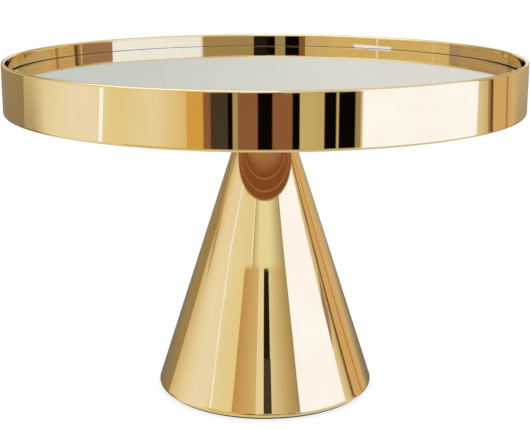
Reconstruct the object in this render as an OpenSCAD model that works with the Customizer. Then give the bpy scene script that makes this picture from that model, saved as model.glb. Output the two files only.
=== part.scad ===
// Cake stand: a round mirror-topped tray that screws onto a conical pedestal.
// The origin is the centre of the foot, on the table. +Z is up.

/* [Tray] */
// Outside diameter of the tray
tray_d = 300; // [260:5:340]
// Height of the tray's upright band
band_h = 29; // [26:1:36]
// Thickness of the band, whose two edges are fully rounded
band_t = 2.4; // [2:0.2:3.2]
// Depth of the mirror below the band's top edge
mirror_drop = 8; // [5:1:9]
// Thickness of the mirror glass
mirror_t = 3; // [2:1:4]
// Sheet thickness of the pan that carries the mirror
pan_t = 1.5; // [1:0.1:2]
// Depth of the pan's turned-down flange
pan_flange_h = 10.5; // [8:0.5:12]
// Number of foam pads in the outer ring
outer_pads = 8; // [6:1:12]
// Number of foam pads in the inner ring
inner_pads = 4; // [3:1:6]

/* [Pedestal] */
// Height of the whole stand, from the table to the band's top edge
stand_h = 199; // [180:1:240]
// Diameter at which the cone's side line would meet the table
cone_foot_d = 131.2; // [120:1:150]
// Diameter of the cone's cut top edge
cone_neck_d = 21; // [20.8:0.1:22]
// Sheet thickness of the cone
cone_t = 1.2; // [1:0.1:1.4]
// Outside radius of the rolled lip at the cone's foot
lip_r = 2; // [1.8:0.2:3]
// Width of the hem that the lip turns in under the cone
hem_w = 6.5; // [5:0.5:8]
// Height of the ballast ring that lies on the hem
ballast_h = 6; // [4:1:9]
// Radial width of the ballast ring
ballast_w = 17; // [12:1:20]
// Thickness of the rubber ring under the foot
foot_ring_t = 1.2; // [1:0.1:2]
// Radial width of the rubber ring
foot_ring_w = 8; // [6:1:10]

/* [Neck fastening] */
// Length of the countersunk centre bolt, head included
bolt_l = 25; // [22:1:28]
// Outside diameter of the hub under the tray
hub_d = 23; // [21:1:26]
// Thickness of the nylon washer in the neck
neck_washer_t = 1; // [0.8:0.1:1.5]
// Thickness of the insert's collar
collar_t = 1.5; // [1.2:0.1:2]

/* [Hidden] */
$fn = 240;

// Metric bolt of size 8 and its nut and washer
thread_r = 4;
running_gap = 0.05;
head_r = 8;
head_land = 0.3;
bolt_end_chamfer = 0.6;
socket_flats = 5;
socket_depth = 3;
nut_flats = 13;
nut_t = 4;
nut_chamfer = 0.7;
spring_washer_r = 7.4;
spring_washer_t = 2;
spring_washer_slit = 1.2;

// Tray parts, from the band inwards
tray_r = tray_d / 2;
band_in_r = tray_r - band_t;
solder_gap = 0.05;
mirror_gap = 1.2;
mirror_arris = 0.4;
pad_d = 24;
pad_t = 1;
outer_pad_ring_r = tray_r * 0.8;
inner_pad_ring_r = tray_r * 0.38;
pan_bend_r = 2.5;
stiffener_r = 40;
stiffener_t = 2;
stiffener_chamfer = 0.5;
hub_h = 9.2;
hub_chamfer = 0.8;
hub_pocket_r = 8;
hub_pocket_h = 6.5;
hub_bolt_gap = 0.2;

// Neck and foot parts
neck_washer_r = 10.6;
neck_washer_hole_r = 4.3;
collar_r = 10.8;
edge_chamfer = 0.4;
spigot_r = 8.9;
spigot_h = 12;
ballast_wall_gap = 0.6;
foot_ring_inset = 0.47;

// Heights of the stack, from the top down
band_z = stand_h - band_h;
mirror_z = stand_h - mirror_drop - mirror_t;
pan_top_z = mirror_z - pad_t;
pan_z = pan_top_z - pan_t;
stiffener_z = pan_z - stiffener_t;
hub_z = stiffener_z - hub_h;
neck_washer_z = hub_z - neck_washer_t;
cone_top_z = neck_washer_z - collar_t;
hub_pocket_top_z = hub_z + hub_pocket_h;
spring_washer_z = hub_pocket_top_z - spring_washer_t;
lock_nut_z = spring_washer_z - nut_t;

// The cone's side line, its slope and its wall measured level
cone_foot_r = cone_foot_d / 2;
cone_slope = (cone_foot_r - cone_neck_d / 2) / cone_top_z;
cone_side_angle = atan(cone_slope);
cone_level_t = cone_t / cos(cone_side_angle);
function cone_r(z) = cone_foot_r - cone_slope * z;

// Centre of the lip's arc, which is tangent to the side line and to the hem
lip_z = foot_ring_t + lip_r;
lip_x = cone_r(lip_z) - lip_r / cos(cone_side_angle);
hem_top_z = foot_ring_t + cone_t;
ballast_top_z = hem_top_z + ballast_h;
ballast_r = cone_r(ballast_top_z) - cone_level_t - ballast_wall_gap;
foot_ring_r = lip_x - foot_ring_inset;

gold = [0.85, 0.67, 0.34];
copper = [0.76, 0.5, 0.39];
steel = [0.72, 0.73, 0.75];

// A closed ring with a rectangular section and chamfered outer corners
module turned_ring(in_r, out_r, z, h, low_chamfer, high_chamfer) {
    rotate_extrude()
        polygon([
            [in_r, z], [out_r - low_chamfer, z], [out_r, z + low_chamfer],
            [out_r, z + h - high_chamfer], [out_r - high_chamfer, z + h], [in_r, z + h]
        ]);
}

// The space of the bolt's conical head, made wider all round by gap
module head_space(gap) {
    rotate_extrude()
        polygon([
            [0, pan_top_z - head_land - head_r], [gap, pan_top_z - head_land - head_r],
            [head_r + gap, pan_top_z - head_land], [head_r + gap, pan_top_z + 1],
            [0, pan_top_z + 1]
        ]);
}

module hexagon(flats, z, h) {
    translate([0, 0, z])
        cylinder(r = flats / 2 / cos(30), h = h, $fn = 6);
}

// Upright band of the tray, one sheet folded so that both edges are round
module rim_band() {
    edge_r = band_t / 2;
    color(gold)
        rotate_extrude() {
            translate([band_in_r, band_z + edge_r])
                square([band_t, band_h - band_t]);
            for (z = [band_z + edge_r, stand_h - edge_r])
                translate([tray_r - edge_r, z])
                    circle(r = edge_r, $fn = 64);
        }
}

// Section of the pan: a flat disc, a bend and a flange turned down inside the band
module pan_section() {
    out_r = band_in_r - solder_gap;
    bend_x = out_r - pan_bend_r;
    bend_z = pan_top_z - pan_bend_r;
    translate([0, pan_z])
        square([bend_x, pan_t]);
    translate([out_r - pan_t, pan_top_z - pan_flange_h])
        square([pan_t, pan_flange_h - pan_bend_r]);
    intersection() {
        translate([bend_x, bend_z])
            difference() {
                circle(r = pan_bend_r, $fn = 64);
                circle(r = pan_bend_r - pan_t, $fn = 64);
            }
        translate([bend_x, bend_z])
            square(pan_bend_r);
    }
}

module tray_pan() {
    color(copper)
        difference() {
            rotate_extrude() pan_section();
            head_space(running_gap);
        }
}

// Silvered glass, lying just inside the band, with its sharp edges taken off
module mirror_disc() {
    out_r = band_in_r - mirror_gap;
    color([0.82, 0.84, 0.84])
        rotate_extrude()
            polygon([
                [0, mirror_z], [out_r - mirror_arris, mirror_z],
                [out_r, mirror_z + mirror_arris],
                [out_r, mirror_z + mirror_t - mirror_arris],
                [out_r - mirror_arris, mirror_z + mirror_t], [0, mirror_z + mirror_t]
            ]);
}

module pad_ring(count, ring_r) {
    for (i = [0 : count - 1])
        rotate([0, 0, i * 360 / count])
            translate([ring_r, 0, pan_top_z])
                cylinder(d = pad_d, h = pad_t, $fn = 64);
}

// Foam adhesive pads that hold the mirror down on the pan
module mirror_pads() {
    color([0.92, 0.92, 0.9]) {
        pad_ring(outer_pads, outer_pad_ring_r);
        pad_ring(inner_pads, inner_pad_ring_r);
    }
}

// Round plate that stiffens the pan where the pedestal pulls on it
module stiffener_plate() {
    color(copper)
        difference() {
            turned_ring(0, stiffener_r, stiffener_z, stiffener_t, stiffener_chamfer, 0);
            head_space(running_gap);
        }
}

// Turned hub with a pocket for the nut and spring washer
module hub_boss() {
    color(copper)
        difference() {
            turned_ring(thread_r + hub_bolt_gap, hub_d / 2, hub_z, hub_h, hub_chamfer, 0);
            translate([0, 0, hub_z - 1])
                cylinder(r = hub_pocket_r, h = hub_pocket_h + 1);
            head_space(running_gap);
        }
}

// Countersunk socket screw; its thread is a plain cylinder of the thread's outside radius
module centre_bolt() {
    end_z = pan_top_z - bolt_l;
    cone_end_z = pan_top_z - head_land - (head_r - thread_r);
    color(steel)
        difference() {
            rotate_extrude()
                polygon([
                    [0, end_z], [thread_r - bolt_end_chamfer, end_z],
                    [thread_r, end_z + bolt_end_chamfer], [thread_r, cone_end_z],
                    [head_r, pan_top_z - head_land], [head_r, pan_top_z], [0, pan_top_z]
                ]);
            hexagon(socket_flats, pan_top_z - socket_depth, socket_depth + 1);
        }
}

// Split spring washer, shown squeezed flat
module spring_washer() {
    color(steel)
        difference() {
            turned_ring(thread_r + hub_bolt_gap, spring_washer_r, spring_washer_z,
                        spring_washer_t, 0, 0);
            rotate([0, 0, 20])
                translate([0, -spring_washer_slit / 2, spring_washer_z - 1])
                    cube([spring_washer_r + 1, spring_washer_slit, spring_washer_t + 2]);
        }
}

// Thin nut that clamps the bolt to the hub, so that both turn with the tray
module lock_nut() {
    corner_r = nut_flats / 2 / cos(30);
    color(steel)
        difference() {
            intersection() {
                hexagon(nut_flats, lock_nut_z, nut_t);
                turned_ring(0, corner_r + 0.1, lock_nut_z, nut_t, nut_chamfer, nut_chamfer);
            }
            translate([0, 0, lock_nut_z - 1])
                cylinder(r = thread_r + running_gap, h = nut_t + 2);
        }
}

// Nylon washer that keeps the hub from scoring the collar
module neck_washer() {
    color([0.9, 0.88, 0.82])
        turned_ring(neck_washer_hole_r, neck_washer_r, neck_washer_z, neck_washer_t, 0, 0);
}

// Threaded insert brazed into the cone's mouth; its bore stands in for the thread
module neck_insert() {
    color(copper)
        difference() {
            union() {
                turned_ring(0, collar_r, cone_top_z, collar_t, edge_chamfer, edge_chamfer);
                turned_ring(0, spigot_r, cone_top_z - spigot_h, spigot_h, edge_chamfer, 0);
            }
            translate([0, 0, cone_top_z - spigot_h - 1])
                cylinder(r = thread_r + running_gap, h = spigot_h + collar_t + 2);
        }
}

// Section of the cone: a straight wall, the rolled lip and the turned-in hem
module cone_section() {
    in_lip_r = lip_r - cone_t;
    side = [cos(cone_side_angle), sin(cone_side_angle)];
    far = 4 * lip_r;
    polygon([
        [lip_x + in_lip_r * side[0], lip_z + in_lip_r * side[1]],
        [lip_x + lip_r * side[0], lip_z + lip_r * side[1]],
        [cone_r(cone_top_z), cone_top_z], [cone_r(cone_top_z) - cone_level_t, cone_top_z]
    ]);
    intersection() {
        translate([lip_x, lip_z])
            difference() {
                circle(r = lip_r, $fn = 64);
                circle(r = in_lip_r, $fn = 64);
            }
        polygon([
            [lip_x, lip_z], [lip_x, lip_z - far], [lip_x + far, lip_z - far],
            [lip_x + far * side[0], lip_z + far * side[1]]
        ]);
    }
    translate([lip_x - hem_w, foot_ring_t])
        square([hem_w, cone_t]);
}

module cone_shell() {
    color(gold)
        rotate_extrude() cone_section();
}

// Flat steel ring inside the foot that keeps the wide tray from tipping the stand
module ballast_ring() {
    color([0.25, 0.25, 0.26])
        turned_ring(ballast_r - ballast_w, ballast_r, hem_top_z, ballast_h,
                    edge_chamfer, edge_chamfer);
}

// Rubber ring glued under the hem
module foot_ring() {
    color([0.06, 0.06, 0.06])
        turned_ring(foot_ring_r - foot_ring_w, foot_ring_r, 0, foot_ring_t, 0, 0);
}

rim_band();
tray_pan();
mirror_disc();
mirror_pads();
stiffener_plate();
hub_boss();
centre_bolt();
spring_washer();
lock_nut();
neck_washer();
neck_insert();
cone_shell();
ballast_ring();
foot_ring();
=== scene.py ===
"""Looks of the cake stand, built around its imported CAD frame. All lengths are in metres."""
import math

import bmesh
import bpy
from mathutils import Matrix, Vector


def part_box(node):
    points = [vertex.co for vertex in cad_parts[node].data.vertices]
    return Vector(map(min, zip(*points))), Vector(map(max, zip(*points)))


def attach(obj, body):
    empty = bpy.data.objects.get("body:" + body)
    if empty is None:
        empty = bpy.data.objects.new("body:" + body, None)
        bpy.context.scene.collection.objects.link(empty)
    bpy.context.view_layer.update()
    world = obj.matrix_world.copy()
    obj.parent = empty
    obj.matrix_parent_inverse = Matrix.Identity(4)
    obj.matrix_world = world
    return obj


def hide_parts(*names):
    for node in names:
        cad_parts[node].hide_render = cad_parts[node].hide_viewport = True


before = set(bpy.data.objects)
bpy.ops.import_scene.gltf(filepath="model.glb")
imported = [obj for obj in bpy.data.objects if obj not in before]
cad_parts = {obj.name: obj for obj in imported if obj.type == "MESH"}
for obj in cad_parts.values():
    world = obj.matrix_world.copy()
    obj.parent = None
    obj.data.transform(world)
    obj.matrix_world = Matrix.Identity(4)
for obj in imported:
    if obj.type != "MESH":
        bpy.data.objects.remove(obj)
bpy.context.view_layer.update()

MM = 0.001
TAU = math.tau
SHARP_DEG = 32


# ---------------------------------------------------------------- outlines and solids

def rounded(corners, steps=6):
    """A closed section with rounded corners. Each corner is (radius, height, fillet).

    A point is added on each side of a fillet, so that the flat face beside it shades flat."""
    places = [Vector(corner[:2]) for corner in corners]
    count = len(places)
    reach = []
    for i, (x, z, fillet) in enumerate(corners):
        to_last = places[i - 1] - places[i]
        to_next = places[(i + 1) % count] - places[i]
        reach.append(fillet / math.tan(to_last.angle(to_next) / 2) if fillet else 0.0)
    points = []
    for i, (x, z, fillet) in enumerate(corners):
        here = places[i]
        if not fillet:
            points.append((x, z))
            continue
        sides = []
        for j in ((i - 1) % count, (i + 1) % count):
            side = places[j] - here
            spare = side.length - reach[i] - reach[j]
            sides.append((side.normalized(), min(0.3 * fillet, 0.4 * spare)))
        (to_last, hold_last), (to_next, hold_next) = sides
        half = to_last.angle(to_next) / 2
        centre = here + (to_last + to_next).normalized() * fillet / math.sin(half)
        start = here + to_last * reach[i] - centre
        end = here + to_next * reach[i] - centre
        turn = start.angle_signed(end)
        if hold_last > 1e-6:
            points.append(tuple(here + to_last * (reach[i] + hold_last)))
        for step in range(steps + 1):
            angle = -turn * step / steps
            c, s = math.cos(angle), math.sin(angle)
            points.append((centre.x + start.x * c - start.y * s,
                           centre.y + start.x * s + start.y * c))
        if hold_next > 1e-6:
            points.append(tuple(here + to_next * (reach[i] + hold_next)))
    return points


def turned(outline, segments=360, start=0.0, sweep=TAU, centre=(0.0, 0.0)):
    """Vertices and faces of a section turned round a vertical axis.

    Each outline point is (radius, height), and either may be a function of the angle."""
    whole = sweep == TAU
    columns = segments if whole else segments + 1
    rows = len(outline)
    verts, faces = [], []
    for i in range(columns):
        angle = start + sweep * i / segments
        for radius, height in outline:
            r = radius(angle) if callable(radius) else radius
            z = height(angle) if callable(height) else height
            verts.append((centre[0] + r * math.cos(angle), centre[1] + r * math.sin(angle), z))
    for i in range(segments):
        a, b = i * rows, (i + 1) % columns * rows
        for j in range(rows):
            k = (j + 1) % rows
            faces.append((a + j, b + j, b + k, a + k))
    if not whole:
        faces.append(tuple(range(rows)))
        faces.append(tuple(range((columns - 1) * rows, columns * rows)))
    return verts, faces


def solid(name, *parts):
    """One mesh object from the parts, closed, with its normals outwards."""
    mesh = bmesh.new()
    for verts, faces in parts:
        made = [mesh.verts.new(v) for v in verts]
        for face in faces:
            mesh.faces.new([made[i] for i in face])
    bmesh.ops.remove_doubles(mesh, verts=mesh.verts, dist=0.0005 * MM)
    bmesh.ops.recalc_face_normals(mesh, faces=mesh.faces)
    data = bpy.data.meshes.new(name)
    mesh.to_mesh(data)
    mesh.free()
    for polygon in data.polygons:
        polygon.use_smooth = True
    data.set_sharp_from_angle(angle=math.radians(SHARP_DEG))
    piece = bpy.data.objects.new(name, data)
    bpy.context.scene.collection.objects.link(piece)
    return piece


def hexagon(flats):
    """Radius of a hexagon at each angle, from its width across the flats."""
    def radius(angle):
        return flats / 2 / math.cos((angle + TAU / 12) % (TAU / 6) - TAU / 12)
    return radius


# ---------------------------------------------------------------- materials

def mix_colour(tree, factor, a, b):
    """A Mix node for colours; factor, a and b are sockets or plain values."""
    node = tree.nodes.new("ShaderNodeMix")
    node.data_type = "RGBA"
    for socket, value in ((node.inputs[0], factor), (node.inputs[6], a), (node.inputs[7], b)):
        if isinstance(value, bpy.types.NodeSocket):
            tree.links.new(value, socket)
        else:
            socket.default_value = value
    return node.outputs[2]


def map_range(tree, value, low, high, to_low=0.0, to_high=1.0):
    """value moved from the range low to high into to_low to to_high, and held there."""
    node = tree.nodes.new("ShaderNodeMapRange")
    node.clamp = True
    tree.links.new(value, node.inputs[0])
    for socket, number in zip(node.inputs[1:5], (low, high, to_low, to_high)):
        socket.default_value = number
    return node.outputs[0]


def math_node(tree, operation, *values):
    """A Math node over the values, which are sockets or plain numbers."""
    node = tree.nodes.new("ShaderNodeMath")
    node.operation = operation
    for socket, value in zip(node.inputs, values):
        if isinstance(value, bpy.types.NodeSocket):
            tree.links.new(value, socket)
        else:
            socket.default_value = value
    return node.outputs[0]


def noise(tree, scale, detail=3.0, stretch=(1, 1, 1)):
    """Noise in the row frame, where scale is in cells per metre, stretched along some axes."""
    coords = tree.nodes.new("ShaderNodeTexCoord")
    mapping = tree.nodes.new("ShaderNodeMapping")
    mapping.inputs["Scale"].default_value = stretch
    texture = tree.nodes.new("ShaderNodeTexNoise")
    texture.inputs["Scale"].default_value = scale
    texture.inputs["Detail"].default_value = detail
    tree.links.new(coords.outputs["Object"], mapping.inputs[0])
    tree.links.new(mapping.outputs[0], texture.inputs["Vector"])
    return texture.outputs[0]


def specks(tree, scale, size, share):
    """1 on sparse round specks and 0 elsewhere; size is a share of their spacing."""
    coords = tree.nodes.new("ShaderNodeTexCoord")
    cells = tree.nodes.new("ShaderNodeTexVoronoi")
    cells.inputs["Scale"].default_value = scale
    tree.links.new(coords.outputs["Object"], cells.inputs["Vector"])
    near = math_node(tree, "LESS_THAN", cells.outputs["Distance"], size)
    chosen = math_node(tree, "LESS_THAN", cells.outputs["Color"], share)
    return math_node(tree, "MULTIPLY", near, chosen)


def bump(tree, height, distance, strength, below=None):
    """A Bump node that adds height to the normal, or to another bump's normal below it."""
    node = tree.nodes.new("ShaderNodeBump")
    node.inputs["Distance"].default_value = distance
    node.inputs["Strength"].default_value = strength
    tree.links.new(height, node.inputs["Height"])
    if below is not None:
        tree.links.new(below, node.inputs["Normal"])
    return node.outputs[0]


def material(name, colour, other_colour, roughness, **values):
    """A Principled material whose colour and roughness vary over the surface in soft patches.

    Returns the material, its node tree and its shader node."""
    made = bpy.data.materials.new(name)
    made.use_nodes = True
    tree = made.node_tree
    shader = tree.nodes["Principled BSDF"]
    for key, value in values.items():
        shader.inputs[key.replace("_", " ")].default_value = value
    patches = map_range(tree, noise(tree, 35.0, 4.0), 0.3, 0.7)
    tint = mix_colour(tree, patches, (*colour, 1), (*other_colour, 1))
    tree.links.new(tint, shader.inputs["Base Color"])
    rough = map_range(tree, noise(tree, 90.0, 5.0), 0.3, 0.7, *roughness)
    tree.links.new(rough, shader.inputs["Roughness"])
    return made, tree, shader


def polished_gold():
    """Mirror-polished gold plate with faint polishing lines, slow waves and a few pits."""
    made, tree, shader = material("polished_gold", (0.95, 0.755, 0.405), (0.92, 0.72, 0.375),
                                  (0.012, 0.035), Metallic=1.0)
    pits = specks(tree, 70.0, 0.03, 0.1)
    tint = shader.inputs["Base Color"].links[0].from_socket
    tint = mix_colour(tree, math_node(tree, "MULTIPLY", pits, 0.55), tint, (0.30, 0.20, 0.09, 1))
    tree.links.new(tint, shader.inputs["Base Color"])
    lines = noise(tree, 40.0, 2.0, (1, 1, 90))
    waves = noise(tree, 14.0, 1.0, (1, 1, 0.6))
    normal = bump(tree, waves, 0.1 * MM, 0.5)
    normal = bump(tree, lines, 0.001 * MM, 0.25, normal)
    tree.links.new(normal, shader.inputs["Normal"])
    return made


def buffed_gold():
    """Gold plate inside the tray, where the buffing wheel ran along the band and left streaks."""
    made, tree, shader = material("buffed_gold", (0.99, 0.80, 0.41), (0.97, 0.78, 0.39),
                                  (0.012, 0.03), Metallic=1.0)
    streaks = noise(tree, 9.0, 4.0, (1, 1, 130))
    tint = shader.inputs["Base Color"].links[0].from_socket
    worn = map_range(tree, streaks, 0.52, 0.75, 0, 0.3)
    tint = mix_colour(tree, worn, tint, (0.70, 0.48, 0.24, 1))
    tree.links.new(tint, shader.inputs["Base Color"])
    tree.links.new(bump(tree, streaks, 0.001 * MM, 0.3), shader.inputs["Normal"])
    return made


def satin_gold():
    """Gold plate that was brushed but not polished, with fine turning lines. Its darker, more copper
    colour is partly the plate's own and partly painted shade, for the parts under the tray and
    inside the cone.
    """
    made, tree, shader = material("satin_gold", (0.76, 0.50, 0.39), (0.70, 0.45, 0.34),
                                  (0.34, 0.44), Metallic=1.0)
    grain = noise(tree, 300.0, 3.0, (1, 1, 4))
    tree.links.new(bump(tree, grain, 0.01 * MM, 0.3), shader.inputs["Normal"])
    return made


def glass():
    """Clear float glass, very faintly green in its depth."""
    made, _, shader = material("float_glass", (0.985, 0.99, 0.985), (0.98, 0.985, 0.98),
                               (0.0, 0.004), IOR=1.52)
    shader.inputs["Transmission Weight"].default_value = 1.0
    return made


def silver():
    """The silver layer behind the glass."""
    made, _, _ = material("mirror_silver", (0.935, 0.935, 0.92), (0.92, 0.92, 0.905),
                          (0.0, 0.008), Metallic=1.0)
    return made


def backing_paint():
    """Grey protective paint on the back of the mirror."""
    made, tree, shader = material("backing_paint", (0.23, 0.24, 0.25), (0.19, 0.2, 0.21),
                                  (0.45, 0.6))
    tree.links.new(bump(tree, noise(tree, 900.0), 0.03 * MM, 0.3), shader.inputs["Normal"])
    return made


def foam():
    """Closed-cell white foam."""
    made, tree, shader = material("white_foam", (0.78, 0.78, 0.74), (0.7, 0.7, 0.66), (0.7, 0.9))
    tree.links.new(bump(tree, noise(tree, 2500.0), 0.1 * MM, 0.5), shader.inputs["Normal"])
    return made


def zinc():
    """Zinc-plated steel, slightly blue and mottled."""
    made, tree, shader = material("zinc_plate", (0.62, 0.64, 0.68), (0.5, 0.52, 0.55),
                                  (0.22, 0.42), Metallic=1.0)
    tree.links.new(bump(tree, noise(tree, 1200.0), 0.01 * MM, 0.3), shader.inputs["Normal"])
    return made


def nylon():
    """Natural nylon, a warm translucent white."""
    made, tree, shader = material("natural_nylon", (0.83, 0.8, 0.7), (0.78, 0.74, 0.63),
                                  (0.35, 0.5))
    shader.inputs["Subsurface Weight"].default_value = 0.25
    shader.inputs["Subsurface Scale"].default_value = 1.0 * MM
    tree.links.new(bump(tree, noise(tree, 1500.0), 0.01 * MM, 0.3), shader.inputs["Normal"])
    return made


def black_lacquer():
    """Black lacquer over rough steel."""
    made, tree, shader = material("black_lacquer", (0.022, 0.022, 0.023), (0.035, 0.033, 0.032),
                                  (0.25, 0.5))
    shader.inputs["Coat Weight"].default_value = 0.4
    shader.inputs["Coat Roughness"].default_value = 0.2
    tree.links.new(bump(tree, noise(tree, 350.0), 0.15 * MM, 0.35), shader.inputs["Normal"])
    return made


def rubber():
    """Moulded black rubber, dusty grey in patches."""
    made, tree, shader = material("black_rubber", (0.022, 0.021, 0.02), (0.045, 0.043, 0.04),
                                  (0.55, 0.8))
    tree.links.new(bump(tree, noise(tree, 2000.0), 0.05 * MM, 0.4), shader.inputs["Normal"])
    return made


# ---------------------------------------------------------------- pieces

def place(piece, body, slot, look, *nodes):
    """Gives the piece its material and its body, and hides the CAD nodes that it stands for. The
    slot is not used.
    """
    piece.data.materials.append(look)
    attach(piece, body)
    if nodes:
        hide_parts(*nodes)


GOLD = polished_gold()
BUFFED = buffed_gold()
SATIN = satin_gold()
ZINC = zinc()

BAND_T = 2.4 * MM


def rim_band():
    """The tray's upright band, with both edges fully rounded."""
    low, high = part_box("rim_band")
    inner, edge = high.x - BAND_T, BAND_T / 2
    pan_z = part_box("tray_pan")[1].z
    section = rounded([
        (inner, low.z, edge), (high.x, low.z, edge), (high.x, high.z, edge), (inner, high.z, edge),
        (inner, pan_z, 0)
    ], steps=10)
    band = solid("rim_band_polished", turned(section))
    place(band, "tray", "gold_plate", GOLD, "rim_band")
    band.data.materials.append(BUFFED)
    band.data.materials.append(SATIN)
    middle_r = inner + edge
    # Inside, below the pan, the band is satin plate, whose darker colour partly paints the shade
    # under the tray.
    for face in band.data.polygons:
        if math.hypot(face.center.x, face.center.y) < middle_r:
            face.material_index = 1 if face.center.z > pan_z else 2


def cone_shell():
    """The cone of the pedestal, with its rolled lip and the hem turned in under it."""
    low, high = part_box("cone_shell")
    wall, lip, hem_in = 1.2 * MM, 2.0 * MM, 55.97 * MM
    table_r, top_r = 65.6 * MM, 10.5 * MM
    slope = (table_r - top_r) / high.z
    wall_level = wall * math.hypot(1, slope)

    def side(z):
        """Radius of the cone's straight side at this height; table_r is where it meets z = 0."""
        return table_r - slope * z

    hem_top = low.z + wall
    section = rounded([
        (hem_in, low.z, 0.4 * MM), (side(low.z), low.z, lip), (top_r, high.z, 0.3 * MM),
        (top_r - wall_level, high.z, 0.3 * MM),
        (side(hem_top) - wall_level, hem_top, lip - wall), (hem_in, hem_top, 0.4 * MM)
    ], steps=10)
    place(solid("cone_spun", turned(section)), "pedestal", "gold_plate", GOLD, "cone_shell")


SILVER_T = 0.02 * MM
PAINT_T = 0.1 * MM


def mirror():
    """The mirror: a glass disc with ground edges, its silver layer and the paint behind it."""
    low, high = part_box("mirror_disc")
    arris = 0.4 * MM
    glass_low = low.z + PAINT_T
    flat = high.x - arris
    body = rounded([
        (0, glass_low, 0), (flat, glass_low, 0.1 * MM), (high.x, glass_low + arris, 0.1 * MM),
        (high.x, high.z - arris, 0.1 * MM), (flat, high.z, 0.1 * MM), (0, high.z, 0)
    ], steps=3)
    place(solid("mirror_glass", turned(body)), "tray", "mirror_glass", glass(), "mirror_disc")
    layer = [(0, glass_low + SILVER_T), (flat, glass_low + SILVER_T),
             (flat, glass_low + 2 * SILVER_T), (0, glass_low + 2 * SILVER_T)]
    place(solid("mirror_silver", turned(layer)), "tray", "mirror_glass", silver())
    paint = rounded([(0, low.z, 0), (flat, low.z, 0.03 * MM), (flat, glass_low, 0.03 * MM),
                     (0, glass_low, 0)], steps=2)
    place(solid("mirror_backing", turned(paint)), "tray", "mirror_glass", backing_paint())


def mirror_pads():
    """Round foam pads between pan and mirror, bulged a little at their edges."""
    low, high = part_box("mirror_pads")
    outer_ring, inner_ring, pad_r, bulge = 120 * MM, 57 * MM, 12 * MM, 0.35 * MM
    side = [(pad_r - bulge * (1 - math.sin(TAU / 2 * k / 8)), low.z + (high.z - low.z) * k / 8)
            for k in range(9)]
    section = [(0, low.z)] + side + [(0, high.z)]
    parts = []
    for ring_r, count in ((outer_ring, 8), (inner_ring, 4)):
        for i in range(count):
            angle = TAU * i / count
            centre = (ring_r * math.cos(angle), ring_r * math.sin(angle))
            parts.append(turned(section, 48, centre=centre))
    pads = solid("foam_pads", *parts)
    place(pads, "tray", "foam_pad", foam(), "mirror_pads")


HEAD_LAND = 0.3 * MM
THREAD_R = 4 * MM


def seat_r(z):
    """Radius at this height of the countersunk seat that the bolt's head lies in."""
    rim_r = 8.05 * MM
    seat_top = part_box("tray_pan")[1].z - HEAD_LAND
    return min(rim_r, rim_r - (seat_top - z))


def tray_pan():
    """The pan: a flat disc with a turned-down flange, and the solder that joins it to the band."""
    low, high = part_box("tray_pan")
    sheet, bend, solder = 1.5 * MM, 2.5 * MM, 0.8 * MM
    under = high.z - sheet
    out_r = high.x
    section = rounded([
        (seat_r(high.z), high.z, 0.05 * MM), (seat_r(high.z), high.z - HEAD_LAND, 0.05 * MM),
        (seat_r(under), under, 0.1 * MM),
        (out_r - sheet, under, bend - sheet), (out_r - sheet, low.z, 0.3 * MM),
        (out_r, low.z, 0.1 * MM), (out_r, high.z, bend)
    ], steps=6)
    steps = 8
    bead = [(out_r, low.z)]
    for k in range(steps + 1):
        angle = TAU / 4 * k / steps
        bead.append((out_r - solder * (1 - math.sin(angle)), low.z - solder * (1 - math.cos(angle))))
    pan = solid("pan_pressed", turned(section), turned(bead))
    place(pan, "tray", "gold_plate_satin", SATIN, "tray_pan")


def stiffener_plate():
    """Round plate under the pan, with the dimples of its spot welds."""
    low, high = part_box("stiffener_plate")
    weld_r, weld_ring, weld_depth, welds = 2.2 * MM, 33 * MM, 0.35 * MM, 8

    def dimple(radius):
        def height(angle):
            off = (angle + TAU / welds / 2) % (TAU / welds) - TAU / welds / 2
            along = math.hypot(radius * math.cos(off) - weld_ring, radius * math.sin(off))
            return low.z + weld_depth * max(0.0, 1 - (along / weld_r) ** 2) ** 2
        return height

    out_r = high.x
    rings = [weld_ring + weld_r * (k / 5 - 1) for k in range(11)]
    section = [(seat_r(high.z), high.z), (seat_r(low.z), low.z), (rings[0] - 1 * MM, low.z)]
    section += [(radius, dimple(radius)) for radius in rings]
    section += [(rings[-1] + 1 * MM, low.z), (out_r - 0.6 * MM, low.z),
                (out_r - 0.5 * MM, low.z), (out_r - 0.15 * MM, low.z + 0.15 * MM),
                (out_r, low.z + 0.5 * MM), (out_r, high.z)]
    plate = solid("stiffener_welded", turned(section))
    place(plate, "tray", "gold_plate_satin", SATIN, "stiffener_plate")


def hub_boss():
    """The turned hub with its pocket for the nut."""
    low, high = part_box("hub_boss")
    pocket_r, pocket_h, bore = 8 * MM, 6.5 * MM, 4.2 * MM
    mouth = seat_r(high.z)
    section = rounded([
        (pocket_r, low.z, 0.2 * MM), (high.x - 0.8 * MM, low.z, 0.15 * MM),
        (high.x, low.z + 0.8 * MM, 0.15 * MM), (high.x, high.z, 0.05 * MM),
        (mouth, high.z, 0.05 * MM), (bore, high.z - (mouth - bore), 0.05 * MM),
        (bore, low.z + pocket_h, 0.05 * MM), (pocket_r, low.z + pocket_h, 0.2 * MM)
    ], steps=4)
    place(solid("hub_turned", turned(section, 240)), "tray", "gold_plate_satin", SATIN, "hub_boss")


PITCH = 1.25 * MM
THREAD_DEPTH = 0.72 * MM
THREAD_SEGMENTS = 96
THREAD_STEPS = 16
RUN_OUT = 0.6 * MM


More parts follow.
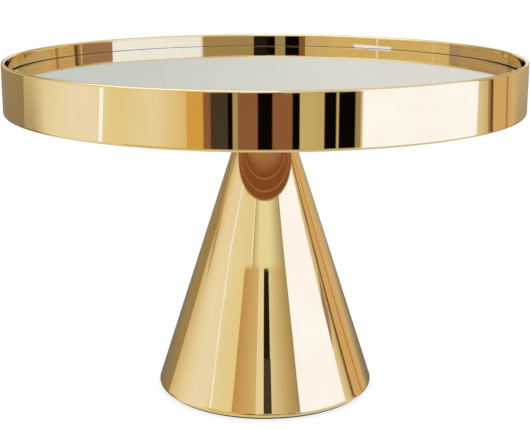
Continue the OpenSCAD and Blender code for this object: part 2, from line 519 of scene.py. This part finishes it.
def thread(z_low, z_high, gap=0.0):
    """Outline points up a right-hand metric thread; its ends run out into the root.

    With a gap, the same surface that much further out, as in a nut."""
    def ring(z):
        ends = min(1.0, (z - z_low) / RUN_OUT, (z_high - z) / RUN_OUT)

        def radius(angle):
            phase = abs((z / PITCH - angle / TAU + 0.5) % 1 - 0.5)
            crest = min(1.0, max(0.0, (0.375 - phase) / 0.3125))
            if gap:
                return THREAD_R + gap - THREAD_DEPTH * (1 - crest) * ends
            return THREAD_R - THREAD_DEPTH * (1 - crest * ends)
        return radius
    count = round((z_high - z_low) / PITCH * THREAD_STEPS)
    heights = [z_low + (z_high - z_low) * k / count for k in range(count + 1)]
    return [(ring(z), z) for z in heights]


def centre_bolt():
    """Countersunk bolt with its hexagon socket and its thread."""
    low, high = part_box("centre_bolt")
    head_r, socket, socket_deep = 8 * MM, hexagon(5 * MM), 3 * MM
    neck_z = high.z - HEAD_LAND - (head_r - THREAD_R)
    root = THREAD_R - THREAD_DEPTH
    section = [(0, low.z), (root - 0.3 * MM, low.z)]
    section += thread(low.z + 0.3 * MM, neck_z - 2 * MM)
    section += [(root, neck_z - 1.2 * MM), (THREAD_R - 0.2 * MM, neck_z - 0.6 * MM),
                (THREAD_R, neck_z), (head_r, high.z - HEAD_LAND), (head_r, high.z - 0.05 * MM),
                (head_r - 0.05 * MM, high.z), (socket, high.z),
                (socket, high.z - socket_deep), (0, high.z - socket_deep - 0.6 * MM)]
    bolt = solid("bolt_m8", turned(section, THREAD_SEGMENTS))
    place(bolt, "tray", "zinc_steel", ZINC, "centre_bolt")


def spring_washer():
    """Split spring washer, squeezed flat under the nut."""
    low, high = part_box("spring_washer")
    bore, slit, slit_at = 4.2 * MM, 1.2 * MM, math.radians(20)
    out_r = high.x
    half_slit = slit / 2 / out_r
    section = rounded([(bore, low.z, 0.15 * MM), (out_r, low.z, 0.15 * MM),
                       (out_r, high.z, 0.15 * MM), (bore, high.z, 0.15 * MM)], steps=3)
    ring = turned(section, 120, slit_at + half_slit, TAU - 2 * half_slit)
    place(solid("washer_split", ring), "tray", "zinc_steel", ZINC, "spring_washer")


def lock_nut():
    """Thin hexagon nut with chamfered corners and a real thread."""
    low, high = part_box("lock_nut")
    flats = 13 * MM
    corner = hexagon(flats)
    rise = math.tan(math.radians(30))

    def cut(angle):
        return max(0.0, corner(angle) - flats / 2) * rise

    face_r = flats / 2 - 0.1 * MM
    section = [(THREAD_R + 0.1 * MM, low.z), (face_r, low.z),
               (corner, lambda angle: low.z + 0.1 * MM + cut(angle)),
               (corner, lambda angle: high.z - 0.1 * MM - cut(angle)),
               (face_r, high.z), (THREAD_R + 0.1 * MM, high.z)]
    section += list(reversed(thread(low.z + 0.1 * MM, high.z - 0.1 * MM, 0.03 * MM)))
    nut = solid("nut_m8_thin", turned(section, THREAD_SEGMENTS))
    place(nut, "tray", "zinc_steel", ZINC, "lock_nut")


def neck_washer():
    """Nylon washer between hub and collar."""
    low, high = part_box("neck_washer")
    bore, edge = 4.3 * MM, 0.2 * MM
    section = rounded([(bore, low.z, edge), (high.x, low.z, edge), (high.x, high.z, edge),
                       (bore, high.z, edge)], steps=4)
    place(solid("washer_nylon", turned(section, 180)), "washer", "nylon", nylon(), "neck_washer")


def neck_insert():
    """Threaded insert brazed into the cone's mouth."""
    low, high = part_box("neck_insert")
    spigot_r, collar_z, edge = 8.9 * MM, high.z - 1.5 * MM, 0.4 * MM
    mouth = THREAD_R + 0.35 * MM
    outside = [
        (mouth, low.z), (spigot_r - edge, low.z), (spigot_r, low.z + edge),
        (spigot_r, collar_z), (high.x - edge, collar_z), (high.x, collar_z + edge),
        (high.x, high.z - edge), (high.x - 0.3 * edge, high.z - 0.2 * edge),
        (high.x - edge, high.z), (mouth, high.z)
    ]
    inside = list(reversed(thread(low.z + 0.3 * MM, high.z - 0.3 * MM, 0.05 * MM)))
    insert = solid("insert_threaded", turned(outside + inside, THREAD_SEGMENTS))
    place(insert, "pedestal", "gold_plate_satin", SATIN, "neck_insert")


def ballast_ring():
    """Flat steel ring inside the foot, its edges worn round by the tumbling drum."""
    low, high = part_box("ballast_ring")
    width, edge = 17 * MM, 0.7 * MM
    inner = high.x - width
    section = rounded([(inner, low.z, edge), (high.x, low.z, edge), (high.x, high.z, edge),
                       (inner, high.z, edge)], steps=4)
    place(solid("ballast_lacquered", turned(section, 240)), "pedestal", "black_steel",
          black_lacquer(), "ballast_ring")


def foot_ring():
    """Rubber ring under the hem."""
    low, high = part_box("foot_ring")
    width, edge = 8 * MM, 0.3 * MM
    inner = high.x - width
    section = rounded([(inner, low.z, edge), (high.x, low.z, edge), (high.x, high.z, edge),
                       (inner, high.z, edge)], steps=4)
    place(solid("foot_rubber", turned(section, 240)), "pedestal", "black_rubber", rubber(),
          "foot_ring")


rim_band()
cone_shell()
mirror()
mirror_pads()
tray_pan()
stiffener_plate()
hub_boss()
centre_bolt()
spring_washer()
lock_nut()
neck_washer()
neck_insert()
ballast_ring()
foot_ring()


# ---------------------------------------------------------------- studio

# Light colours of the studio's walls, screens and lamps, all seen in the polish. They and the
# directions below weren't designed. They are rounded from what other programs worked out from the
# reflections in the photograph. report.md says how, which rules that breaks, and what to take out.
WHITE = (1.05, 1.225, 2.05)
GLARE = (0.97, 1.04, 1.40)
CREAM = (0.88, 0.89, 1.00)
PALE = (0.83, 0.83, 0.77)
IVORY = (0.83, 0.89, 0.76)
STRAW = (0.82, 0.77, 0.58)
WHEAT = (0.74, 0.70, 0.50)
AMBER = (0.76, 0.61, 0.35)
HONEY = (0.67, 0.55, 0.36)
TOFFEE = (0.67, 0.475, 0.27)
FAWN = (0.53, 0.38, 0.25)
CLAY = (0.40, 0.245, 0.20)
ORANGE = (0.68, 0.43, 0.12)
SIENNA = (0.55, 0.36, 0.15)
SAGE = (0.60, 0.53, 0.34)
BRONZE = (0.42, 0.34, 0.20)
OLIVE = (0.55, 0.47, 0.29)
TAN = (0.345, 0.275, 0.165)
UMBER = (0.24, 0.20, 0.17)
DUSK = (0.45, 0.35, 0.27)
RUST = (0.43, 0.26, 0.12)
COPPER = (0.27, 0.13, 0.08)
SMOKE = (0.06, 0.05, 0.045)
SABLE = (0.15, 0.075, 0.05)
BLACK = (0.003, 0.002, 0.001)
SOOT = (0.02, 0.012, 0.009)
GREY = (0.70, 0.72, 0.66)
WARM_GREY = (0.86, 0.83, 0.765)
CEILING = (0.76, 0.77, 0.83)
SLATE = (0.56, 0.62, 0.85)

# A large softbox stands at the right, and a dark post behind the camera. Each has its two lower
# corners, its height above them and its colour. A lamp hangs over the stand. The post stands where
# the photograph has a dark reflection that may be a person's.
SOFTBOX = ((0.379, -0.535, 0.01), (0.62, -0.02, 0.01), 0.6, WHITE)
POST = ((-0.022, -0.85, 0.25), (0.09, -0.85, 0.25), 0.12, SOOT)
POST_FOOT = ((-0.022, -0.85, 0.14), (0.1, -0.85, 0.14), 0.11, SMOKE)
LAMP_AT = (-0.5, -0.1, 1.0)
LAMP_SIZE = (1.1, 0.7)
LAMP_POWER = 1.73

# What stands further off, by the azimuth in degrees at which it starts: 0 is the camera's side,
# the right is positive and 180 is the rear. A second colour is the one that it fades to before
# the next starts. The front has four tiers, one above the other, each in a left and a right half.
FRONT_FROM, FRONT_TO = -62, 40
LOW_FRONT = [
    [(-62, STRAW, PALE), (-46, PALE, AMBER), (-32, ORANGE), (-25, COPPER), (-22, SMOKE),
     (-15, BLACK), (-13, DUSK), (-11, COPPER), (-3, BLACK)],
    [(0, BLACK), (3, COPPER), (11, BLACK), (14, SAGE, OLIVE), (24, BLACK), (29, OLIVE),
     (30, BLACK), (37, TAN)]
]
MID_FRONT = [
    [(-62, AMBER, HONEY), (-20, COPPER), (-17, BLACK), (-10, BRONZE), (-5, BLACK)],
    [(0, BLACK), (5, BRONZE), (31, CREAM)]
]
HIGH_FRONT = [
    [(-62, PALE, STRAW), (-35, SIENNA, HONEY), (-10, PALE)],
    [(0, PALE, OLIVE), (25, OLIVE, TAN)]
]
TOP_FRONT = [
    [(-62, PALE, STRAW), (-25, GLARE), (-23, OLIVE, IVORY), (-10, IVORY)],
    [(0, IVORY), (9, IVORY, TAN)]
]

# Elevations between which each tier of the front takes over from the one below it
LOW_START, MID_START, HIGH_START, TOP_START = (-12.4, -10.9), (-3, 0), (7, 7.5), (19.5, 19.8)

# The sides lean: an edge there moves by half a degree for each degree of elevation. The top of
# the front is arched: it is lower by the square of the azimuth over ARCH.
LEAN = 0.5
ARCH = 700
LEFT_SIDE = [
    (-180, TAN), (-119, HONEY, PALE), (-98, PALE, CREAM), (-84, CREAM), (-68, PALE, STRAW),
    (-60, STRAW)
]
RIGHT_SIDE = [
    (36, PALE), (88, CREAM, HONEY), (103, TAN), (105, SABLE), (107, TOFFEE), (119, RUST),
    (121, TOFFEE), (126, HONEY, TAN)
]

# Smaller cards and strip lights in front of that: azimuth from and to, elevation from and to,
# and colour. A last number is how far one leans, in degrees of azimuth to a degree of elevation.
CARDS = [
    (80, 99, 4.5, 7, CLAY), (-150, -106, 4.5, 7, FAWN), (-72, -70, -12, -5, WHITE, 0.6),
    (-64, -61, 8, 14, GLARE, -1.3), (-67, -64, 14, 19, GLARE, 0.8)
]

# A curved screen at the left, just above the tray's level, which the inner wall mirrors: its
# radius, the heights of its edges, and its colours by azimuth. Then what is lit in front of it:
# azimuth from and to, the heights of its edges, and its colour.
ARC_R = 0.25
ARC_LOW, ARC_HIGH = 0.205, 0.243
ARC_FROM, ARC_TO = -134, -40
ARC = [(-134, DUSK), (-125, AMBER)]
ARC_LIGHTS = [
    (-113, -112, ARC_LOW, ARC_HIGH, STRAW), (-73, -71.5, ARC_LOW, ARC_HIGH, CREAM),
    (-82, -57, 0.2245, 0.228, WHITE)
]

# How far a span's and a card's edge blend to each side, in degrees, and the light's strength
EDGE_DEG = 0.15
CARD_EDGE_DEG = 0.06
STRENGTH = 2.5


def dimmed(colour):
    """The colour as the Background node gets it, whose strength brings it back up."""
    return (*[part / STRENGTH for part in colour], 1)


def span_ramp(tree, azimuth, spans, last):
    """A colour ramp over the azimuths from the first span to last."""
    first = spans[0][0]
    node = tree.nodes.new("ShaderNodeValToRGB")
    stops = []
    ends = [span[0] for span in spans[1:]] + [last]
    for (start, colour, *fades_to), end in zip(spans, ends):
        stops.append((start + EDGE_DEG, colour))
        stops.append((end - EDGE_DEG, fades_to[0] if fades_to else colour))
    elements = node.color_ramp.elements
    while len(elements) < len(stops):
        elements.new(1.0)
    for element, (angle, colour) in zip(elements, stops):
        element.position = (angle - first) / (last - first)
        element.color = dimmed(colour)
    tree.links.new(map_range(tree, azimuth, first, last), node.inputs[0])
    return node.outputs[0]


def card(tree, azimuth, height, below, spec):
    """below with one card in front of it."""
    az_from, az_to, el_from, el_to, colour, *lean = spec
    across = math_node(tree, "SUBTRACT", azimuth, (az_from + az_to) / 2)
    up = math_node(tree, "SUBTRACT", height, (el_from + el_to) / 2)
    if lean:
        across = math_node(tree, "MULTIPLY_ADD", up, -lean[0], across)
    outside_across = math_node(tree, "SUBTRACT", math_node(tree, "ABSOLUTE", across),
                               (az_to - az_from) / 2)
    outside_up = math_node(tree, "SUBTRACT", math_node(tree, "ABSOLUTE", up),
                           (el_to - el_from) / 2)
    outside = math_node(tree, "MAXIMUM", outside_across, outside_up)
    inside = map_range(tree, outside, -CARD_EDGE_DEG, CARD_EDGE_DEG, 1, 0)
    return mix_colour(tree, inside, below, dimmed(colour))


def between(tree, angle, *steps):
    """0 below the first step, 1 between the middle two and 0 again above the last."""
    rise = map_range(tree, angle, steps[0], steps[1])
    fall = map_range(tree, angle, steps[2], steps[3], 1, 0)
    return math_node(tree, "MULTIPLY", rise, fall)


def side_walls(tree, azimuth, elevation, on_right):
    """Colour of the two leaning sides, lighter high up at the left and dark low at the rear."""
    lean = math_node(tree, "MULTIPLY", elevation, math_node(tree, "SIGN", azimuth))
    leaning = math_node(tree, "MULTIPLY_ADD", lean, LEAN, azimuth)
    colour = mix_colour(tree, on_right, span_ramp(tree, leaning, LEFT_SIDE, -40),
                        span_ramp(tree, leaning, RIGHT_SIDE, 180))
    high_up = math_node(tree, "MULTIPLY", map_range(tree, elevation, 8, 20, 0, 0.8),
                        between(tree, azimuth, -112, -106, -40, -30))
    colour = mix_colour(tree, high_up, colour, dimmed(STRAW))
    beside = between(tree, azimuth, -115, -105, 130, 140)
    low_down = math_node(tree, "MULTIPLY", map_range(tree, elevation, -5, -13, 0, 1),
                         math_node(tree, "SUBTRACT", 1.0, beside))
    return mix_colour(tree, low_down, colour, dimmed(UMBER))


def front_tiers(tree, azimuth, elevation, on_right):
    """Colour of the front, each tier laid over the one below it from its own height up."""
    arched = math_node(tree, "MULTIPLY", azimuth, azimuth)
    arched = math_node(tree, "MULTIPLY_ADD", arched, 1 / ARCH, elevation)
    colour = dimmed(OLIVE)
    for height, start, (left, right) in (
        (elevation, LOW_START, LOW_FRONT), (elevation, MID_START, MID_FRONT),
        (elevation, HIGH_START, HIGH_FRONT), (arched, TOP_START, TOP_FRONT)
    ):
        tier = mix_colour(tree, on_right, span_ramp(tree, azimuth, left, 0),
                          span_ramp(tree, azimuth, right, FRONT_TO))
        colour = mix_colour(tree, map_range(tree, height, *start), colour, tier)
    return colour


def surroundings(tree):
    """Colour of what stands all round, by direction: walls, cards, ceiling and ground."""
    coords = tree.nodes.new("ShaderNodeTexCoord")
    axes = tree.nodes.new("ShaderNodeSeparateXYZ")
    tree.links.new(coords.outputs["Generated"], axes.inputs[0])
    across, away, up = axes.outputs
    azimuth = math_node(tree, "ARCTAN2", across, math_node(tree, "MULTIPLY", away, -1.0))
    azimuth = math_node(tree, "MULTIPLY", azimuth, 360 / TAU)
    elevation = math_node(tree, "MULTIPLY", math_node(tree, "ARCSINE", up), 360 / TAU)
    on_right = math_node(tree, "GREATER_THAN", azimuth, 0.0)

    in_front = between(tree, azimuth, FRONT_FROM - 1, FRONT_FROM + 1, FRONT_TO - 1, FRONT_TO)
    colour = mix_colour(tree, in_front, side_walls(tree, azimuth, elevation, on_right),
                        front_tiers(tree, azimuth, elevation, on_right))
    rear = mix_colour(tree, map_range(tree, across, -0.12, 0.08), dimmed(GREY),
                      dimmed(WARM_GREY))
    at_rear = math_node(tree, "MULTIPLY", map_range(tree, away, 0.90, 0.94),
                        map_range(tree, elevation, 0, 3))
    colour = mix_colour(tree, at_rear, colour, rear)
    for spec in CARDS:
        colour = card(tree, azimuth, elevation, colour, spec)
    colour = mix_colour(tree, map_range(tree, elevation, 26, 40), colour, dimmed(CEILING))
    ground = mix_colour(tree, between(tree, azimuth, 15, 30, 100, 130), dimmed(WHEAT),
                        dimmed(SLATE))
    return mix_colour(tree, map_range(tree, elevation, -28, -36), colour, ground)


def studio():
    """Light from all round: white for the camera, and the surroundings for every other ray."""
    world = bpy.data.worlds.new("studio")
    world.use_nodes = True
    bpy.context.scene.world = world
    tree = world.node_tree
    light = tree.nodes["Background"]
    light.inputs[1].default_value = STRENGTH
    tree.links.new(surroundings(tree), light.inputs[0])
    seen = tree.nodes.new("ShaderNodeBackground")
    seen.inputs[0].default_value = (1, 1, 1, 1)
    path = tree.nodes.new("ShaderNodeLightPath")
    chosen = tree.nodes.new("ShaderNodeMixShader")
    tree.links.new(path.outputs["Is Camera Ray"], chosen.inputs[0])
    tree.links.new(light.outputs[0], chosen.inputs[1])
    tree.links.new(seen.outputs[0], chosen.inputs[2])
    tree.links.new(chosen.outputs[0], tree.nodes["World Output"].inputs[0])


def lamp():
    """A soft lamp over the stand, seen only in the polish."""
    data = bpy.data.lights.new("overhead_lamp", "AREA")
    data.shape = "RECTANGLE"
    data.size, data.size_y = LAMP_SIZE
    data.color = (0.9, 1, 1.35)
    data.energy = LAMP_POWER
    unit = bpy.data.objects.new("overhead_lamp", data)
    unit.location = LAMP_AT
    unit.visible_camera = False
    bpy.context.scene.collection.objects.link(unit)


def glowing(name, colour):
    """A material that glows with this colour, which is plain or a function of the node tree."""
    look = bpy.data.materials.new(name)
    look.use_nodes = True
    tree = look.node_tree
    glow = tree.nodes.new("ShaderNodeEmission")
    glow.inputs[1].default_value = STRENGTH
    if callable(colour):
        tree.links.new(colour(tree), glow.inputs[0])
    else:
        glow.inputs[0].default_value = dimmed(colour)
    tree.links.new(glow.outputs[0], tree.nodes["Material Output"].inputs[0])
    return look


def sheet(name, verts, faces, colour):
    """A glowing sheet of the studio, which shows only in the polish."""
    data = bpy.data.meshes.new(name)
    data.from_pydata(verts, [], faces)
    data.materials.append(glowing(name, colour))
    made = bpy.data.objects.new(name, data)
    bpy.context.scene.collection.objects.link(made)
    made.visible_camera = made.visible_shadow = made.visible_diffuse = False


def screen(name, left, right, height, colour):
    """A flat upright sheet over two lower corners."""
    tops = [(x, y, z + height) for x, y, z in (right, left)]
    sheet(name, [left, right, *tops], [(0, 1, 2, 3)], colour)


def curved_screen(name, az_from, az_to, low, high, colour, radius):
    """An upright sheet that is curved round the stand's axis."""
    steps = max(1, round((az_to - az_from) / 3))
    verts = []
    for k in range(steps + 1):
        azimuth = math.radians(az_from + (az_to - az_from) * k / steps)
        x, y = radius * math.sin(azimuth), -radius * math.cos(azimuth)
        verts += [(x, y, low), (x, y, high)]
    faces = [(2 * k, 2 * k + 2, 2 * k + 3, 2 * k + 1) for k in range(steps)]
    sheet(name, verts, faces, colour)


def arc():
    """The curved screen at the left, and what is lit in front of it."""
    def colours(tree):
        coords = tree.nodes.new("ShaderNodeTexCoord")
        axes = tree.nodes.new("ShaderNodeSeparateXYZ")
        tree.links.new(coords.outputs["Object"], axes.inputs[0])
        back = math_node(tree, "MULTIPLY", axes.outputs[1], -1.0)
        azimuth = math_node(tree, "ARCTAN2", axes.outputs[0], back)
        azimuth = math_node(tree, "MULTIPLY", azimuth, 360 / TAU)
        return span_ramp(tree, azimuth, ARC, ARC_TO)

    curved_screen("arc_screen", ARC_FROM, ARC_TO, ARC_LOW, ARC_HIGH, colours, ARC_R)
    for i, (*extent, colour) in enumerate(ARC_LIGHTS):
        curved_screen("arc_light_%d" % i, *extent, colour, ARC_R - (i + 1) * MM)


def floor():
    """A pale floor, white to the camera with a faint shadow round the foot and unseen in the polish.

    It is open to a camera below it, so that the underside can be seen."""
    radius, level = 0.34, -0.2 * MM
    disc = bmesh.new()
    bmesh.ops.create_circle(disc, cap_ends=True, segments=128, radius=radius)
    bmesh.ops.translate(disc, verts=disc.verts, vec=(0, 0, level))
    data = bpy.data.meshes.new("floor")
    disc.to_mesh(data)
    disc.free()
    table = bpy.data.objects.new("floor", data)
    bpy.context.scene.collection.objects.link(table)

    made = bpy.data.materials.new("pale_floor")
    made.use_nodes = True
    tree = made.node_tree
    nearness = tree.nodes.new("ShaderNodeAmbientOcclusion")
    nearness.inputs["Distance"].default_value = 0.02
    shadow = map_range(tree, nearness.outputs["AO"], 0.2, 0.8, 0.84, 1)
    white = tree.nodes.new("ShaderNodeEmission")
    tree.links.new(mix_colour(tree, shadow, (0, 0, 0, 1), (1, 1, 1, 1)), white.inputs[0])
    clear = tree.nodes.new("ShaderNodeBsdfTransparent")
    side = tree.nodes.new("ShaderNodeNewGeometry")
    shown = tree.nodes.new("ShaderNodeMixShader")
    tree.links.new(side.outputs["Backfacing"], shown.inputs[0])
    tree.links.new(white.outputs[0], shown.inputs[1])
    tree.links.new(clear.outputs[0], shown.inputs[2])
    tree.links.new(shown.outputs[0], tree.nodes["Material Output"].inputs[0])
    table.data.materials.append(made)
    table.visible_glossy = table.visible_diffuse = table.visible_transmission = False


def camera():
    """A view from a little above the tray, far enough off for the tray to fill the frame."""
    data = bpy.data.cameras.new("camera")
    data.sensor_width = 36
    data.lens = 81.5
    eye = bpy.data.objects.new("camera", data)
    eye.location = (0, -0.698, 0.272)
    eye.rotation_euler = (math.radians(90 - 13.5), 0, 0)
    bpy.context.scene.collection.objects.link(eye)
    bpy.context.scene.camera = eye


camera()
floor()
screen("softbox", *SOFTBOX)
screen("dark_post", *POST)
screen("post_foot", *POST_FOOT)
arc()
lamp()
studio()
bpy.context.scene.view_settings.view_transform = "Standard"
